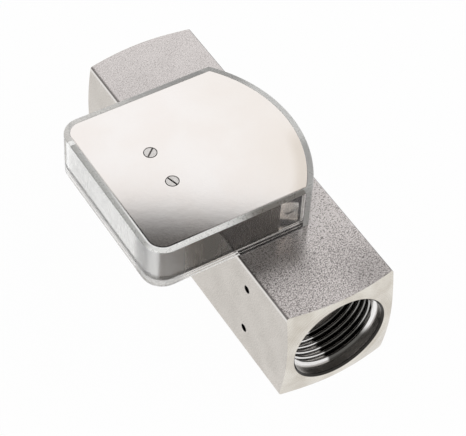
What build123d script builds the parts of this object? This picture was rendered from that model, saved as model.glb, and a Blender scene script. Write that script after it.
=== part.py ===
# Variable area flow meter for liquids, with a spring loaded float and a magnet driven pointer.
# A square steel bar carries the flow from -Y to +Y. The float slides on a rod in a tapered sleeve.
# A flat D shaped case stands on the bar's top face and holds a pointer that swings about +Z.
# Origin: centre of the bar's underside. X is across the bar, Y along the flow, Z up. Millimetres.
from math import asin, cos, degrees, radians, sin, sqrt, tan
import os

from build123d import *

# Clearances that more than one piece shares
press_gap = 0.01
fit_gap = 0.05
rest_gap = 0.2

# Square bar and its pipe ports
bar_width = 40.0
bar_length = 131.0
bar_edge_radius = 0.9
end_chamfer_angle = 15.0
end_face_radius = 19.5
port_radius = 16.65
port_depth = 19.0
port_mouth_radius = 17.3
switch_hole_radius = 1.25
switch_hole_depth = 6.0
switch_hole_spacing = 20.0
switch_hole_from_end = 25.0

# Stepped bore inside the bar
main_bore_radius = 13.5
seat_bore_radius = 15.0
seat_shoulder = 38.0

# Retaining rings
ring_thickness = 1.2
ring_groove_depth = 0.65
ring_groove_slack = 0.1
ring_band = 2.0
ring_gap_half_angle = 14.0
ring_lug_radius = 1.9
ring_lug_hole_radius = 0.8

# Spiders that hold the guide rod
spider_thickness = 3.0
spider_rim = 2.6
spider_hub_wall = 2.2
spider_arm_width = 2.6
spider_arms = 3

# Guide rod and its nuts
rod_radius = 2.0
rod_end_chamfer = 0.4
rod_overhang = 0.6
nut_across_flats = 7.0
nut_thickness = 2.6

# Tapered metering sleeve and its seal
flange_thickness = 2.0
throat_radius = 9.3
throat_length = 6.0
sleeve_end_wall = 1.25
sleeve_reach = 48.0
sleeve_lead_in = 1.2
seal_section = 1.3
seal_groove_from_flange = 2.5
seal_groove_slack = 0.5

# Float
throat_gap = 0.3
float_edge_width = 0.8
float_back_length = 2.2
float_body_radius = 6.6
float_wall = 0.7
float_front_wall = 1.5
float_cap_length = 3.0
float_cap_spigot = 1.5
nose_wall = 0.9
bush_radius = 3.4
bush_length = 4.2
magnet_bore_radius = 3.6
magnet_length = 5.8
magnet_gap = 0.2

# Return spring and the bosses that centre it
spring_radius = 5.0
spring_wire = 0.9
spring_wire_sides = 8
spring_turns = 7
spring_boss_gap = 0.35
spring_boss_length = 2.0

# Indicator case, whose outline is measured from the pointer's pivot
pivot_overhang = 10.0
pivot_upstream = 2.4
case_arc_radius = 48.5
case_length = 63.6
case_back = 20.9
case_corner_radius = 7.2
case_tip_radius = 0.8
case_height = 17.0
cover_wall = 3.0
cover_rim = 2.0
cover_edge_radius = 0.5
plate_gap = 0.1
base_thickness = 2.0
face_thickness = 1.5
band_thickness = 1.0
band_setback = 9.2

# Countersunk screws, of which these four hold the case to the bar
countersink_angle = 90.0
base_screw_radius = 1.5
base_screw_head_radius = 2.9
base_screw_length = 6.5
base_screw_slot = 0.8
base_screw_margin = 0.8
base_screw_inset = 7.0

# Pillars either side of the pivot, the bridge on them and the face screws
pillar_radius = 2.4
pillar_spigot_radius = 1.5
pillar_offset = 7.0
tapped_hole_depth = 6.0
bridge_thickness = 1.5
bridge_width = 7.0
bridge_end = 3.5
bridge_corner_radius = 2.4
face_screw_radius = 1.25
face_screw_head_radius = 2.25
face_screw_length = 8.0
face_screw_slot = 0.6
rear_slot_angle = 40.0
front_slot_angle = -73.0

# Pointer, its bearings and its stops
shaft_radius = 1.0
shaft_gap = 0.03
shaft_end_play = 0.1
bearing_radius = 2.2
bearing_flange_radius = 3.0
bearing_flange = 0.6
bearing_floor = 0.6
hub_radius = 2.5
hub_flange_radius = 3.9
hub_flange = 1.2
hub_overhang = 2.0
arm_rise = 5.8
arm_thickness = 0.8
arm_root_width = 5.0
arm_tip_width = 2.6
arm_pad_radius = 4.0
arm_tail_length = 9.0
follower_radius = 3.0
follower_length = 4.6
cup_wall = 0.6
cup_length = 3.6
counterweight_radius = 3.4
counterweight_height = 3.0
flag_arc_clearance = 1.1
flag_end_clearance = 1.3
flag_thickness = 0.8
flag_width = 5.0
flag_drop = 4.0
flag_height = 9.6
stop_radius = 1.0
stop_distance = 20.0
stop_gap = 0.3
stop_overlap = 0.6

# Stations along the flow, worked out from the sizes above
bore_z = bar_width / 2
half_length = bar_length / 2
port_floor = half_length - port_depth
flange_start = -seat_shoulder - flange_thickness
inlet_spider_y = flange_start - spider_thickness
inlet_ring_y = inlet_spider_y - ring_thickness
outlet_ring_y = seat_shoulder + spider_thickness
throat_end = flange_start + throat_length

# Pivot's place, and the case's inner corner between its arc and its flat end, from the pivot
pivot_offset = bar_width / 2 + pivot_overhang
pivot_x = -pivot_offset
pivot_y = -pivot_upstream
inner_arc_radius = case_arc_radius - cover_wall
inner_half_length = case_length / 2 - cover_wall
inner_corner = sqrt(inner_arc_radius**2 - inner_half_length**2)
band_end = inner_corner - band_setback

# Pointer's swing each way from square across the bar, as far as its flag has room
flag_radius = inner_arc_radius - flag_arc_clearance - flag_thickness
flag_reach = flag_radius + flag_thickness
flag_limit = degrees(asin((inner_half_length - flag_end_clearance) / flag_reach))
half_sweep = flag_limit - degrees(asin(flag_width / 2 / flag_reach))

# Float travel and stations at rest, where its magnets lie square beside the pointer's follower
float_travel = 2 * pivot_offset * sin(radians(half_sweep))
magnet_y = pivot_y - float_travel / 2
magnet_half = magnet_length + magnet_gap / 2
float_cap_y = magnet_y + magnet_half
float_cap_face = float_cap_y + float_cap_spigot
float_tail = float_cap_face + float_cap_length
float_edge = throat_end - float_edge_width / 2
body_front = float_edge + float_back_length
cavity_front = body_front + float_front_wall
nose_tip = flange_start + rest_gap

# Radii round the bore's axis that several pieces share
sleeve_radius = main_bore_radius - fit_gap
seat_radius = seat_bore_radius - fit_gap
float_radius = throat_radius - throat_gap
magnet_radius = float_body_radius - float_wall - fit_gap
spring_boss_radius = spring_radius - spring_wire / 2 - spring_boss_gap
hub_bore_radius = rod_radius + press_gap

# Levels of the case and the pointer
base_top = bar_width + base_thickness
case_top = bar_width + case_height
face_z = case_top - face_thickness
bridge_z = face_z - bridge_thickness
arm_z = base_top + arm_rise
arm_top = arm_z + arm_thickness
stop_offset = arm_root_width / 2 + stop_gap + stop_radius

# Case screws, two near the bar's edge and two near the arc, clear of the band and the cover
screw_border = base_screw_head_radius + base_screw_margin
screw_half_span = inner_half_length - plate_gap - band_thickness - screw_border
screw_left = base_screw_inset - bar_width / 2
screw_right = pivot_x + sqrt((inner_arc_radius - screw_border) ** 2 - screw_half_span**2)
base_screw_places = [
    (x, pivot_y + y) for x in (screw_left, screw_right) for y in (-screw_half_span, screw_half_span)
]

bore_axis = Axis((0, 0, bore_z), (0, 1, 0))
flow_section = Plane(origin=(0, 0, bore_z), x_dir=(0, 1, 0), z_dir=(1, 0, 0))

os.makedirs("parts", exist_ok=True)


def across_flow(y):
    """Plane square to the flow at a station, facing downstream, with its Y up."""
    return Plane(origin=(0, y, bore_z), x_dir=(-1, 0, 0), z_dir=(0, 1, 0))


def at_pivot(z, angle=0):
    """Level plane centred on the pointer's pivot, with its X turned by an angle."""
    direction = (cos(radians(angle)), sin(radians(angle)), 0)
    return Plane(origin=(pivot_x, pivot_y, z), x_dir=direction, z_dir=(0, 0, 1))


def case_outline(inset):
    """D shape of the case, drawn that far inside its outer wall."""
    radius = case_arc_radius - inset
    half = case_length / 2 - inset
    back = inset - case_back
    tip = sqrt(radius**2 - half**2)
    with BuildSketch() as outline:
        with BuildLine():
            Polyline((tip, half), (back, half), (back, -half), (tip, -half))
            ThreePointArc((tip, -half), (radius, 0), (tip, half))
        make_face()
        fillet(outline.vertices().sort_by(Axis.X)[:2], case_corner_radius - inset)
        fillet(outline.vertices().sort_by(Axis.X)[-2:], case_tip_radius)
    return outline.sketch


def finish(part, name):
    """Labels a finished piece and writes its file."""
    part.label = name
    export_step(part, f"parts/{name}.step")


# Bar with its turned ends, pipe ports, stepped bore and tapped holes
chamfer_rise = (bar_width - end_face_radius) * tan(radians(end_chamfer_angle))
mouth = port_mouth_radius - port_radius
groove_radius = seat_bore_radius + ring_groove_depth
with BuildPart() as meter_body:
    with BuildSketch(across_flow(-half_length)):
        Rectangle(bar_width, bar_width)
    extrude(amount=bar_length)
    fillet(meter_body.edges().filter_by(Axis.Y), bar_edge_radius)
    with BuildSketch(flow_section):
        with BuildLine():
            Polyline(
                (-half_length, 0),
                (-half_length, end_face_radius),
                (-half_length + chamfer_rise, bar_width),
                (half_length - chamfer_rise, bar_width),
                (half_length, end_face_radius),
                (half_length, 0),
                close=True,
            )
        make_face()
    revolve(axis=bore_axis, mode=Mode.INTERSECT)
    with BuildSketch(flow_section):
        with BuildLine():
            Polyline(
                (-half_length, 0),
                (-half_length, port_mouth_radius),
                (-half_length + mouth, port_radius),
                (-port_floor, port_radius),
                (-port_floor, seat_bore_radius),
                (-seat_shoulder, seat_bore_radius),
                (-seat_shoulder, main_bore_radius),
                (seat_shoulder, main_bore_radius),
                (seat_shoulder, seat_bore_radius),
                (port_floor, seat_bore_radius),
                (port_floor, port_radius),
                (half_length - mouth, port_radius),
                (half_length, port_mouth_radius),
                (half_length, 0),
                close=True,
            )
        make_face()
    revolve(axis=bore_axis, mode=Mode.SUBTRACT)
    for groove_y in (inlet_ring_y - ring_groove_slack, outlet_ring_y):
        with BuildSketch(across_flow(groove_y)):
            Circle(groove_radius)
        extrude(amount=ring_thickness + ring_groove_slack, mode=Mode.SUBTRACT)
    switch_face = Plane(
        origin=(-bar_width / 2, switch_hole_from_end - half_length, bore_z),
        x_dir=(0, 1, 0),
        z_dir=(-1, 0, 0),
    )
    with Locations(switch_face):
        with GridLocations(0, switch_hole_spacing, 1, 2):
            Hole(switch_hole_radius, switch_hole_depth)
    with Locations([(x, y, bar_width) for x, y in base_screw_places]):
        Hole(base_screw_radius + press_gap, base_screw_length - base_thickness + fit_gap)
finish(meter_body.part, "meter_body")


def retaining_ring(start):
    """Open spring ring with two lugs for pliers, from a station downstream."""
    outer = groove_radius - fit_gap
    lug_distance = outer - ring_band - ring_lug_radius / 2
    lug_angle = ring_gap_half_angle + degrees(asin(ring_lug_radius / lug_distance))
    opening = 2 * outer * tan(radians(ring_gap_half_angle))
    with BuildPart() as ring:
        with BuildSketch(across_flow(start)):
            Circle(outer)
            Circle(outer - ring_band, mode=Mode.SUBTRACT)
            with BuildLine():
                Polyline((0, 0), (opening, 2 * outer), (-opening, 2 * outer), close=True)
            make_face(mode=Mode.SUBTRACT)
            with PolarLocations(lug_distance, 2, 90 - lug_angle, 2 * lug_angle, endpoint=True):
                Circle(ring_lug_radius)
                Circle(ring_lug_hole_radius, mode=Mode.SUBTRACT)
        extrude(amount=ring_thickness)
    return ring.part


# Retaining rings, sprung into the grooves behind each port
finish(retaining_ring(inlet_ring_y), "inlet_retaining_ring")
finish(retaining_ring(outlet_ring_y), "outlet_retaining_ring")


def spider(start, boss_radius, boss_length):
    """Wheel with a rim, arms and a hub for the rod, with a boss upstream of the hub."""
    arm_length = seat_radius - spider_rim / 2
    with BuildPart() as wheel:
        with BuildSketch(across_flow(start)):
            Circle(seat_radius)
            Circle(seat_radius - spider_rim, mode=Mode.SUBTRACT)
            Circle(rod_radius + spider_hub_wall)
            with PolarLocations(arm_length / 2, spider_arms, -90):
                Rectangle(arm_length, spider_arm_width)
        extrude(amount=spider_thickness)
        with BuildSketch(across_flow(start)):
            Circle(boss_radius)
        extrude(amount=-boss_length)
        with Locations(across_flow(start + spider_thickness)):
            Hole(hub_bore_radius)
    return wheel.part


# Spiders, of which the inlet one has a short locating collar and the outlet one centres the spring
finish(spider(inlet_spider_y, rod_radius + spider_hub_wall, rest_gap), "inlet_spider")
finish(spider(seat_shoulder, spring_boss_radius, spring_boss_length), "outlet_spider")

# Guide rod on the bore's axis, with a nut outside each spider
inlet_nut_y = inlet_spider_y - rest_gap - nut_thickness
rod_start = inlet_nut_y - rod_overhang
rod_end = outlet_ring_y + nut_thickness + rod_overhang
with BuildPart() as guide_rod:
    with BuildSketch(across_flow(rod_start)):
        Circle(rod_radius)
    extrude(amount=rod_end - rod_start)
    chamfer(guide_rod.edges().filter_by(GeomType.CIRCLE), rod_end_chamfer)
finish(guide_rod.part, "guide_rod")


def rod_nut(start):
    """Hexagon nut on the guide rod, from a station downstream."""
    with BuildPart() as nut:
        with BuildSketch(across_flow(start)):
            RegularPolygon(nut_across_flats / 2, 6, major_radius=False)
            Circle(hub_bore_radius, mode=Mode.SUBTRACT)
        extrude(amount=nut_thickness)
    return nut.part


finish(rod_nut(inlet_nut_y), "inlet_rod_nut")
finish(rod_nut(outlet_ring_y), "outlet_rod_nut")

# Metering sleeve, whose bore widens downstream so that the gap round the float grows
sleeve_end = flange_start + sleeve_reach
seal_groove_start = -seat_shoulder + seal_groove_from_flange
seal_groove_end = seal_groove_start + seal_section + seal_groove_slack
seal_groove_radius = sleeve_radius - seal_section - fit_gap
with BuildPart() as metering_sleeve:
    with BuildSketch(flow_section):
        with BuildLine():
            Polyline(
                (flange_start, throat_radius + sleeve_lead_in),
                (flange_start, seat_radius),
                (-seat_shoulder, seat_radius),
                (-seat_shoulder, sleeve_radius),
                (seal_groove_start, sleeve_radius),
                (seal_groove_start, seal_groove_radius),
                (seal_groove_end, seal_groove_radius),
                (seal_groove_end, sleeve_radius),
                (sleeve_end, sleeve_radius),
                (sleeve_end, sleeve_radius - sleeve_end_wall),
                (throat_end, throat_radius),
                (flange_start + sleeve_lead_in, throat_radius),
                close=True,
            )
        make_face()
    revolve(axis=bore_axis)
finish(metering_sleeve.part, "metering_sleeve")

# Square section seal ring in the sleeve's groove
with BuildPart() as sleeve_seal:
    with BuildSketch(flow_section):
        with Locations(((seal_groove_start + seal_groove_end) / 2, sleeve_radius - seal_section / 2)):
            Rectangle(seal_section, seal_section)
    revolve(axis=bore_axis)
finish(sleeve_seal.part, "sleeve_seal")

# Float head, with a blunt nose and a narrow metering edge
with BuildPart() as float_head:
    with BuildSketch(flow_section):
        with BuildLine():
            Polyline(
                (nose_tip, bush_radius + press_gap),
                (nose_tip, bush_radius + nose_wall),
                (float_edge, float_radius),
                (float_edge + float_edge_width, float_radius),
                (body_front, float_body_radius),
                (body_front, bush_radius + press_gap),
                close=True,
            )
        make_face()
    revolve(axis=bore_axis)
finish(float_head.part, "float_head")

# Float body, a cup that holds the magnets
rod_passage = rod_radius + rest_gap
with BuildPart() as float_body:
    with BuildSketch(flow_section):
        with BuildLine():
            Polyline(
                (body_front, rod_passage),
                (body_front, float_body_radius),
                (float_cap_face, float_body_radius),
                (float_cap_face, float_body_radius - float_wall),
                (cavity_front, float_body_radius - float_wall),
                (cavity_front, rod_passage),
                close=True,
            )
        make_face()
    revolve(axis=bore_axis)
finish(float_body.part, "float_body")

# Two ring magnets, and the spacer that sets their place in the cup
with BuildPart() as float_magnets:
    for magnet_start in (magnet_y - magnet_half, magnet_y + magnet_gap / 2):
        with BuildSketch(across_flow(magnet_start)):
            Circle(magnet_radius)
            Circle(magnet_bore_radius, mode=Mode.SUBTRACT)
        extrude(amount=magnet_length)
finish(float_magnets.part, "float_magnets")

with BuildPart() as magnet_spacer:
    with BuildSketch(across_flow(cavity_front)):
        Circle(magnet_radius)
        Circle(magnet_bore_radius, mode=Mode.SUBTRACT)
    extrude(amount=magnet_y - magnet_half - cavity_front)
finish(magnet_spacer.part, "magnet_spacer")

# End cap, which closes the cup and centres the spring
cap_end = float_tail + spring_boss_length
with BuildPart() as float_cap:
    with BuildSketch(flow_section):
        with BuildLine():
            Polyline(
                (float_cap_y, bush_radius + press_gap),
                (float_cap_y, magnet_radius),
                (float_cap_face, magnet_radius),
                (float_cap_face, float_body_radius),
                (float_tail, float_body_radius),
                (float_tail, spring_boss_radius),
                (cap_end, spring_boss_radius),
                (cap_end, bush_radius + press_gap),
                close=True,
            )
        make_face()
    revolve(axis=bore_axis)
finish(float_cap.part, "float_cap")


def rod_bush(start):
    """Plain plastic bush that runs on the guide rod, from a station downstream."""
    with BuildPart() as bush:
        with BuildSketch(across_flow(start)):
            Circle(bush_radius)
            Circle(rod_radius + fit_gap, mode=Mode.SUBTRACT)
        extrude(amount=bush_length)
    return bush.part


finish(rod_bush(nose_tip), "front_float_bush")
finish(rod_bush(cap_end - bush_length), "rear_float_bush")

# Return spring, from the float's cap to the outlet spider, its wire drawn with a few flats
coil_height = seat_shoulder - float_tail - spring_wire
with BuildPart() as return_spring:
    with BuildLine() as coil:
        Helix(
            pitch=coil_height / spring_turns,
            height=coil_height,
            radius=spring_radius,
            center=(0, float_tail + spring_wire / 2, bore_z),
            direction=(0, 1, 0),
        )
    with BuildSketch(Plane(origin=coil.line @ 0, z_dir=coil.line % 0)):
        RegularPolygon(spring_wire / 2, spring_wire_sides)
    sweep(path=coil.line, is_frenet=True)
finish(return_spring.part, "return_spring")

# Base plate, which fills the cover's lower rebate
stop_angles = {"zero_stop": -half_sweep, "full_scale_stop": half_sweep}
stop_sides = {"zero_stop": -stop_offset, "full_scale_stop": stop_offset}
with BuildPart() as base_plate:
    with BuildSketch(at_pivot(bar_width)):
        add(case_outline(cover_rim + plate_gap))
    extrude(amount=base_thickness)
    with Locations(at_pivot(base_top)):
        with GridLocations(0, 2 * pillar_offset, 1, 2):
            Hole(pillar_spigot_radius + press_gap)
        Hole(bearing_radius + press_gap)
    for name, angle in stop_angles.items():
        with Locations(at_pivot(base_top, angle)):
            with Locations((stop_distance, stop_sides[name])):
                Hole(stop_radius + press_gap)
    with Locations([(x, y, base_top) for x, y in base_screw_places]):
        CounterSinkHole(
            base_screw_radius + fit_gap,
            base_screw_head_radius + fit_gap,
            counter_sink_angle=countersink_angle,
        )
finish(base_plate.part, "base_plate")


def slotted_screw(radius, head_radius, length, slot, slot_angle):
    """Countersunk slotted screw that points down from a flush head at Z = 0."""
    cone = (head_radius - radius) / tan(radians(countersink_angle / 2))
    with BuildPart() as screw:
        with BuildSketch(Plane.XZ):
            with BuildLine():
                Polyline(
                    (0, 0),
                    (head_radius, 0),
                    (radius, -cone),
                    (radius, -length),
                    (0, -length),
                    close=True,
                )
            make_face()
        revolve(axis=Axis.Z)
        with BuildSketch(Plane.XY.rotated((0, 0, slot_angle))):
            Rectangle(2 * head_radius + slot, slot)
        extrude(amount=-slot, mode=Mode.SUBTRACT)
    return screw.part


# Four screws through the base plate into the bar
base_screw = slotted_screw(base_screw_radius, base_screw_head_radius, base_screw_length, base_screw_slot, 0)
base_screws = Compound(children=[Pos(x, y, base_top) * base_screw for x, y in base_screw_places])
finish(base_screws, "base_screws")

# Clear cover, a D shaped wall with a rebate for each plate
with BuildPart() as cover:
    with BuildSketch(at_pivot(bar_width)):
        add(case_outline(0))
    extrude(amount=case_height)
    fillet(cover.faces().filter_by(Axis.Z).edges(), cover_edge_radius)
    with BuildSketch(at_pivot(bar_width)):
        add(case_outline(cover_wall))
    extrude(amount=case_height, mode=Mode.SUBTRACT)
    for rebate_z, rebate_depth in ((bar_width, base_thickness), (face_z, face_thickness)):
        with BuildSketch(at_pivot(rebate_z)):
            add(case_outline(cover_rim))
        extrude(amount=rebate_depth, mode=Mode.SUBTRACT)
finish(cover.part, "cover")

# Sheet band behind the cover's wall on three sides, open towards the arc
with BuildPart() as frame_band:
    with BuildSketch(at_pivot(base_top)):
        add(case_outline(cover_wall + plate_gap))
        add(case_outline(cover_wall + plate_gap + band_thickness), mode=Mode.SUBTRACT)
        with Locations((band_end, 0)):
            Rectangle(case_arc_radius, case_length, align=(Align.MIN, Align.CENTER), mode=Mode.SUBTRACT)
    extrude(amount=face_z - base_top)
finish(frame_band.part, "frame_band")

# Face plate, flush in the cover's upper rebate
with BuildPart() as face_plate:
    with BuildSketch(at_pivot(face_z)):
        add(case_outline(cover_rim + plate_gap))
    extrude(amount=face_thickness)
    with Locations(at_pivot(case_top)):
        with GridLocations(0, 2 * pillar_offset, 1, 2):
            CounterSinkHole(
                face_screw_radius + fit_gap,
                face_screw_head_radius + fit_gap,
                counter_sink_angle=countersink_angle,
            )
finish(face_plate.part, "face_plate")


def pillar(offset):
    """Round pillar with a spigot in the base plate and a tapped hole in its top."""
    with BuildPart() as post:
        with BuildSketch(at_pivot(bar_width)):
            with Locations((0, offset)):
                Circle(pillar_spigot_radius)
        extrude(amount=base_thickness)
        with BuildSketch(at_pivot(base_top)):
            with Locations((0, offset)):
                Circle(pillar_radius)
        extrude(amount=bridge_z - base_top)
        with Locations(at_pivot(bridge_z)):
            with Locations((0, offset)):
                Hole(face_screw_radius + press_gap, tapped_hole_depth)
    return post.part


def face_screw(offset, slot_angle):
    """Screw through the face plate and the bridge into a pillar."""
    screw = slotted_screw(
        face_screw_radius, face_screw_head_radius, face_screw_length, face_screw_slot, slot_angle
    )
    return Pos(pivot_x, pivot_y + offset, case_top) * screw


finish(pillar(-pillar_offset), "front_pillar")
finish(pillar(pillar_offset), "rear_pillar")
finish(face_screw(-pillar_offset, front_slot_angle), "front_face_screw")
finish(face_screw(pillar_offset, rear_slot_angle), "rear_face_screw")

# Bridge across the pillars, which carries the upper bearing
with BuildPart() as bearing_bridge:
    with BuildSketch(at_pivot(bridge_z)):
        RectangleRounded(bridge_width, 2 * (pillar_offset + bridge_end), bridge_corner_radius)
        with GridLocations(0, 2 * pillar_offset, 1, 2):
            Circle(face_screw_radius + fit_gap, mode=Mode.SUBTRACT)
        Circle(bearing_radius + press_gap, mode=Mode.SUBTRACT)
    extrude(amount=bridge_thickness)
finish(bearing_bridge.part, "bearing_bridge")


def flanged_bearing(far_plane, near_plane, wall):
    """Blind flanged bearing, from its far plane through a wall to the flange on its near plane."""
    with BuildPart() as bearing:
        with BuildSketch(far_plane):
            Circle(bearing_radius)
        extrude(amount=wall)
        with BuildSketch(near_plane):
            Circle(bearing_flange_radius)
        extrude(amount=bearing_flange)
        with BuildSketch(far_plane.offset(bearing_floor)):
            Circle(shaft_radius + shaft_gap)
        extrude(amount=wall + bearing_flange - bearing_floor, mode=Mode.SUBTRACT)
    return bearing.part


finish(flanged_bearing(at_pivot(bar_width), at_pivot(base_top), base_thickness), "lower_bearing")
finish(flanged_bearing(-at_pivot(face_z), -at_pivot(bridge_z), bridge_thickness), "upper_bearing")

# Stop pins at both ends of the pointer's sweep
for name, angle in stop_angles.items():
    with BuildPart() as stop:
        with BuildSketch(at_pivot(bar_width, angle)):
            with Locations((stop_distance, stop_sides[name])):
                Circle(stop_radius)
        extrude(amount=arm_top + stop_overlap - bar_width)
    finish(stop.part, name)

# Pointer shaft, between the bearings' floors
shaft_bottom = bar_width + bearing_floor + shaft_end_play
shaft_top = face_z - bearing_floor - shaft_end_play
with BuildPart() as pointer_shaft:
    with BuildSketch(at_pivot(shaft_bottom)):
        Circle(shaft_radius)
    extrude(amount=shaft_top - shaft_bottom)
finish(pointer_shaft.part, "pointer_shaft")

# Pointer hub on the shaft, with a flange under the arm
with BuildPart() as pointer_hub:
    with BuildSketch(at_pivot(arm_z - hub_flange)):
        Circle(hub_flange_radius)
    extrude(amount=hub_flange)
    with BuildSketch(at_pivot(arm_z)):
        Circle(hub_radius)
    extrude(amount=arm_thickness + hub_overhang)
    with Locations(at_pivot(arm_top + hub_overhang)):
        Hole(shaft_radius + press_gap)
finish(pointer_hub.part, "pointer_hub")

# Pointer arm, one flat blade from the counterweight to the flag
with BuildPart() as pointer_arm:
    with BuildSketch(at_pivot(arm_z, -half_sweep)):
        with BuildLine():
            Polyline(
                (-arm_tail_length, arm_root_width / 2),
                (stop_distance, arm_root_width / 2),
                (flag_reach, arm_tip_width / 2),
                (flag_reach, -arm_tip_width / 2),
                (stop_distance, -arm_root_width / 2),
                (-arm_tail_length, -arm_root_width / 2),
                close=True,
            )
        make_face()
        with Locations((0, 0), (pivot_offset, 0), (-arm_tail_length, 0)):
            Circle(arm_pad_radius)
        Circle(hub_radius + press_gap, mode=Mode.SUBTRACT)
        Circle(flag_radius, mode=Mode.INTERSECT)
    extrude(amount=arm_thickness)
finish(pointer_arm.part, "pointer_arm")

# Follower magnet under the arm, over the float's magnets, and the cup that grips it
with BuildPart() as follower_magnet:
    with BuildSketch(at_pivot(arm_z, -half_sweep)):
        with Locations((pivot_offset, 0)):
            Circle(follower_radius)
    extrude(amount=-follower_length)
finish(follower_magnet.part, "follower_magnet")

with BuildPart() as magnet_cup:
    with BuildSketch(at_pivot(arm_z, -half_sweep)):
        with Locations((pivot_offset, 0)):
            Circle(follower_radius + press_gap + cup_wall)
            Circle(follower_radius + press_gap, mode=Mode.SUBTRACT)
    extrude(amount=-cup_length)
finish(magnet_cup.part, "magnet_cup")

# Counterweight under the arm's tail
with BuildPart() as counterweight:
    with BuildSketch(at_pivot(arm_z, -half_sweep)):
        with Locations((-arm_tail_length, 0)):
            Circle(counterweight_radius)
    extrude(amount=-counterweight_height)
finish(counterweight.part, "counterweight")

# Flag at the arm's tip, curved with the cover's arc
with BuildPart() as pointer_flag:
    with BuildSketch(at_pivot(arm_z - flag_drop, -half_sweep)):
        Circle(flag_reach)
        Circle(flag_radius, mode=Mode.SUBTRACT)
        with Locations((flag_radius, 0)):
            Rectangle(2 * flag_width, flag_width, mode=Mode.INTERSECT)
    extrude(amount=flag_height)
finish(pointer_flag.part, "pointer_flag")
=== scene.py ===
"""Looks of a variable area flow meter: its finishes, threads, spring and clear case."""

import logging
import math
from dataclasses import dataclass, field
from enum import Enum
from functools import partial, reduce
from typing import Optional, Union

import bpy
from mathutils import Matrix, Vector


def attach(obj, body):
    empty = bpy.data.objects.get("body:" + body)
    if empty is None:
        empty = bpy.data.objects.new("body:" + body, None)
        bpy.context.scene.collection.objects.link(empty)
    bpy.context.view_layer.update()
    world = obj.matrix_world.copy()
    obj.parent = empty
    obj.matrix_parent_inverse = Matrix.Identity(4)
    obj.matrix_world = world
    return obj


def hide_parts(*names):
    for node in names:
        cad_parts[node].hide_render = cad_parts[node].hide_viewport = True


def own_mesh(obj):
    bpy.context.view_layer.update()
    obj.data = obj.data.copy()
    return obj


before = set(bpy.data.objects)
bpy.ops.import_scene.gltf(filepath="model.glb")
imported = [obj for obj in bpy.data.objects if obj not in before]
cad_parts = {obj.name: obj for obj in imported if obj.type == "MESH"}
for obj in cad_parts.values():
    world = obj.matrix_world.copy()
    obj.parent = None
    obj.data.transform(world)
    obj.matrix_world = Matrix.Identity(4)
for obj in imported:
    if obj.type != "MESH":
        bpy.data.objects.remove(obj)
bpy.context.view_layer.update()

log = logging.getLogger("flow_meter")

MM = 0.001
IMAGE_WIDTH = 466
VECTOR = "NodeSocketVector"
NUMBER = "NodeSocketFloat"
WHITE = (1.0, 1.0, 1.0)

BORE_HEIGHT = 20 * MM
BORE = Vector((0, 0, BORE_HEIGHT))
PIVOT = Vector((-30 * MM, -2.4 * MM, 0))
REAR_SCREW = PIVOT + Vector((0, 7 * MM, 0))
FRONT_SCREW = PIVOT - Vector((0, 7 * MM, 0))
PLATE_CORNER = Vector((-43.7 * MM, -27 * MM, 0))
PLATE_CORNER_RADIUS = 5.1 * MM
NEAR_CORNER = (-72 * MM, -46 * MM)
BAR_HALF_LENGTH = 65.5 * MM

Piece = bpy.types.Object
Material = bpy.types.Material
Tree = bpy.types.NodeTree
Socket = bpy.types.NodeSocket
Color = tuple[float, float, float]
Span = tuple[float, float]
Value = Union[Socket, float, Color]


def span(low: float, high: float) -> Span:
    """Returns two lengths in millimetres as metres."""
    return low * MM, high * MM


class Kind(Enum):
    """Shader nodes that the finishes use, by what each does."""

    MATH = "ShaderNodeMath"
    MIX = "ShaderNodeMix"
    RANGE = "ShaderNodeMapRange"
    NOISE = "ShaderNodeTexNoise"
    VORONOI = "ShaderNodeTexVoronoi"
    COORD = "ShaderNodeTexCoord"
    MAPPING = "ShaderNodeMapping"
    SPLIT = "ShaderNodeSeparateXYZ"
    BUMP = "ShaderNodeBump"
    GROUP = "ShaderNodeGroup"
    LIGHT_PATH = "ShaderNodeLightPath"
    DIFFUSE = "ShaderNodeBsdfDiffuse"
    EMISSION = "ShaderNodeEmission"
    MIX_SHADER = "ShaderNodeMixShader"
    BACKGROUND = "ShaderNodeBackground"
    SURFACE = "ShaderNodeOutputMaterial"
    SURROUNDINGS = "ShaderNodeOutputWorld"


class Direction(Enum):
    """Way that the brushed lines of a sheet run."""

    ALONG = (1.0, 0.04, 1.0)
    UPRIGHT = (1.0, 1.0, 0.04)


class PortEnd(Enum):
    """End of the bar that a port is in, as the sign of its Y."""

    INLET = -1
    OUTLET = 1


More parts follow.
